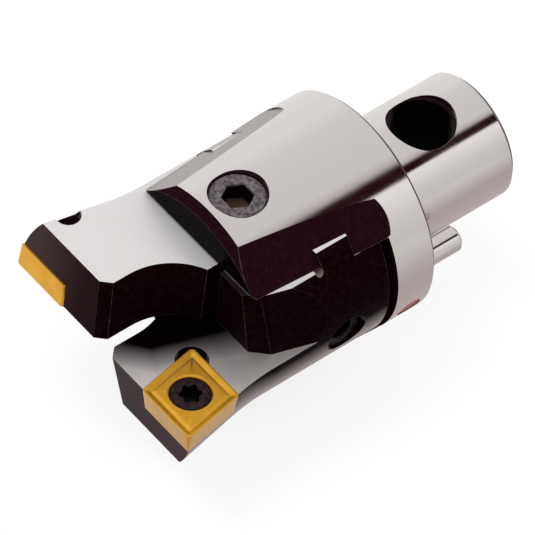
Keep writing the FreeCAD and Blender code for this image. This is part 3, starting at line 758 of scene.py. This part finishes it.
for node, side in (("adjusting_screw_a", 1), ("adjusting_screw_b", -1)):
    hexagon = socket_ring(ADJUST_FLATS / math.sqrt(3), 6, 0, 0)
    socket = socket_rows(hexagon, (0.5, 14.3), (1, 14.6), (1, 18.9), (1.06, 19.1))
    tip = discs((4.0, 5.9), (3.6, 5.53), (2.75, 5.53), (2.75, 3.7), (2.55, 3.53))
    rim = discs((3.56, 19.1), (3.64, 19.08), (4.0, 18.7))
    screw = socket_screw(node + "_threaded", socket, rim, (4.0, 1.0, 0.5, 18.6, 6.0), tip,
                         in_holder(side), adjust_black)
    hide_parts(node)
    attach(screw, node)

for node, body, seat in (("insert_screw_a", "insert_screw_a", seat_a),
                         ("insert_screw_b", "insert_screw_b", seat_b)):
    lobes = socket_ring(2.05, 6, 0.55, 1)
    socket = socket_rows(lobes, (0.5, -2.15), (1, -2.1), (1, -0.35), (1.08, -0.2))
    cone = discs((2.5, -0.2), (2.75, -0.2), (3.2, -0.24), (3.5, -0.32), (3.66, -0.42),
                 (3.62, -0.5), (2.4, -2.65))
    tip = discs((2.4, -8.9), (2.0, -9.3))
    screw = socket_screw(node + "_threaded", socket, cone, (2.4, 0.8, 0.35, -2.9, -8.8), tip,
                         seat, insert_black)
    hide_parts(node)
    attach(screw, body)


# Small parts that keep the frame's shape: the hardened drive and stop pins, the brass pads
# under the clamp screws, the nylon pellets in the adjusting screws and the enamelled mark.

DRIVE_PIN_X, DRIVE_PIN_RADIUS, DRIVE_PIN_LENGTH, DRIVE_PIN_CHAMFER = 16.5, 2.5, 8, 0.6

pin_bright = ground_steel("ground_pin_steel", (0.3, 6, 0.3), rgb(222, 218, 214),
                          rgb(190, 186, 184), 0.16, 0.3, 0.2)
pad_brass = ground_steel("turned_brass", (2, 2, 2), rgb(214, 178, 104), rgb(186, 146, 76),
                         0.28, 0.45, 0.2)

enamel, tree, shader = new_material("red_enamel")
cloudy = noise(tree, object_mm(tree), 1.5, 4.0)
fill(tree, shader, {"Base Color": blend(tree, spread(tree, cloudy, 0.35, 0.65, 0, 1),
                                        rgb(198, 52, 30), rgb(224, 92, 56)),
                    "Roughness": spread(tree, cloudy, 0.3, 0.7, 0.25, 0.4)})

nylon, tree, shader = new_material("natural_nylon")
cloudy = noise(tree, object_mm(tree), 2.5, 4.0)
fill(tree, shader, {"Base Color": blend(tree, cloudy, rgb(226, 222, 208), rgb(206, 200, 184)),
                    "Roughness": spread(tree, cloudy, 0.3, 0.7, 0.45, 0.6)})

drive_pin = merged_copy("drive_pin", "drive_pin_ground")
pin_shoulder = DRIVE_PIN_LENGTH - DRIVE_PIN_CHAMFER
round_walls(drive_pin.data, [
    turned_wall((DRIVE_PIN_X, 0, 0), AXIS_Y, 0, pin_shoulder, DRIVE_PIN_RADIUS),
    turned_wall((DRIVE_PIN_X, 0, 0), AXIS_Y, pin_shoulder, DRIVE_PIN_LENGTH, DRIVE_PIN_RADIUS,
                DRIVE_PIN_RADIUS - DRIVE_PIN_CHAMFER)])
paint(drive_pin.data, [turned_bright], np.zeros(len(drive_pin.data.polygons)))
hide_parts("drive_pin")
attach(drive_pin, "head")

for node, material in (("stop_pin", pin_bright), ("clamp_pad_top", pad_brass),
                       ("clamp_pad_bottom", pad_brass), ("index_mark", enamel),
                       ("lock_pellet_a", nylon), ("lock_pellet_b", nylon)):
    for material_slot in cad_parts[node].material_slots:
        material_slot.material = material


# Floor, light and background: a pale studio table with a white surround. Polished steel
# mirrors the white surround and one dim maroon strip low on the right. In steel the table
# shows as a ramp of tones along X, darker beside the head as a painted shadow, and the
# surround as one by its angle from straight up.

TABLE_SIZE, TABLE_Z = 3, -(BODY_RADIUS + 0.02) * MM


def paint_ramp(ramp, stops):
    """Sets a colour ramp's stops from (position, colour) pairs in rising order."""
    while len(ramp.elements) < len(stops):
        ramp.elements.new(0.5)
    for stop, (position, colour) in zip(ramp.elements, stops):
        stop.position = position
        stop.color = colour


floor_mesh = bpy.data.meshes.new("studio_floor")
floor_mesh.from_pydata([(wide * TABLE_SIZE, deep * TABLE_SIZE, TABLE_Z)
                        for wide, deep in ((-1, -1), (1, -1), (1, 1), (-1, 1))],
                       [], [(0, 1, 2, 3)])
floor_piece = as_object("studio_floor", floor_mesh)
floor_paint, tree, shader = new_material("pale_table")
rays = add(tree, "ShaderNodeLightPath")
mirrored = calculate(tree, "MAXIMUM", rays.outputs["Is Glossy Ray"],
                     rays.outputs["Is Transmission Ray"])
dust = noise(tree, object_mm(tree), 0.04, 3.0)
board = blend(tree, dust, rgb(146, 145, 144), rgb(150, 149, 148))
sideways = add(tree, "ShaderNodeSeparateXYZ", {0: object_mm(tree)}).outputs[0]
in_steel = add(tree, "ShaderNodeValToRGB", {0: spread(tree, sideways, -100, 200, 0, 1)})
stops = ((-60, 0.86, 1.0), (-15, 0.8, 0.98), (5, 0.53, 0.9), (40, 0.49, 0.89), (55, 0.54, 0.92),
         (80, 0.61, 0.95), (150, 0.68, 0.98))
paint_ramp(in_steel.color_ramp,
           [((across + 100) / 300, (light, light * pink, light * pink * 0.98, 1))
            for across, light, pink in stops])
seen = blend(tree, rays.outputs["Is Camera Ray"], rgb(0, 0, 0), (0.8, 0.8, 0.8, 1))
fill(tree, shader, {"Base Color": blend(tree, mirrored, board, rgb(0, 0, 0)), "Roughness": 0.9,
                    "Emission Color": blend(tree, mirrored, seen, in_steel.outputs[0]),
                    "Emission Strength": 1.0, "Specular IOR Level": 0.1})
floor_mesh.materials.append(floor_paint)

world = bpy.data.worlds.new("studio_surround")
scene.world = world
world.use_nodes = True
tree = world.node_tree
tree.nodes.clear()
rays = add(tree, "ShaderNodeLightPath")
mirrored = calculate(tree, "MAXIMUM", rays.outputs["Is Glossy Ray"],
                     rays.outputs["Is Transmission Ray"])
seen = calculate(tree, "MAXIMUM", rays.outputs["Is Camera Ray"], mirrored)
sky = add(tree, "ShaderNodeSeparateXYZ", {0: add(tree, "ShaderNodeTexCoord").outputs["Generated"]})
lean = calculate(tree, "MULTIPLY", calculate(tree, "ARCTAN2", sky.outputs[0], sky.outputs[2]),
                 180 / math.pi)
softbox = add(tree, "ShaderNodeValToRGB", {0: spread(tree, lean, -180, 180, 0, 1)})
stops = ((-110, 0.87, 0.99), (-66, 0.88, 0.99), (-45, 0.78, 0.98), (-9, 0.74, 0.98),
         (12, 0.73, 0.98), (20, 0.55, 0.95), (25, 0.02, 0.15), (37, 0.02, 0.15), (39, 0.98, 0.99),
         (45, 0.94, 0.99), (67, 0.76, 0.98), (98, 0.65, 0.97), (122, 0.6, 0.97), (150, 0.66, 0.98))
paint_ramp(softbox.color_ramp,
           [((degrees + 180) / 360, (light, light * green, light * green * 0.99, 1))
            for degrees, light, green in stops])
beyond = spread(tree, sky.outputs[1], 0.1, 0.3, 0.0, 1.0)
in_ramp = calculate(tree, "MULTIPLY", beyond, mirrored)
surround = blend(tree, in_ramp, (0.85, 0.84, 0.83, 1), softbox.outputs[0])
surround = blend(tree, rays.outputs["Is Camera Ray"], surround, (1, 1, 1, 1))
shade = blend(tree, seen, (0.55, 0.55, 0.55, 1), surround)
backdrop = add(tree, "ShaderNodeBackground", {"Color": shade, "Strength": 1.0})
add(tree, "ShaderNodeOutputWorld", {"Surface": backdrop.outputs[0]})

for name, place_at, width, power in (("soft_key", (-0.5, -0.2, 0.9), 0.6, 4.0),
                                     ("soft_fill", (0.6, 0.5, 0.7), 0.6, 2.0)):
    lamp_data = bpy.data.lights.new(name, "AREA")
    lamp_data.shape = "SQUARE"
    lamp_data.size = width
    lamp_data.energy = power
    lamp = bpy.data.objects.new(name, lamp_data)
    back = np.array(place_at) / np.linalg.norm(place_at)
    side = np.cross(AXIS_Z, back)
    side /= np.linalg.norm(side)
    turned = np.eye(4)
    turned[:3] = np.column_stack([side, np.cross(back, side), back, place_at])
    lamp.matrix_world = Matrix(turned.tolist())
    lamp.visible_glossy = False
    scene.collection.objects.link(lamp)
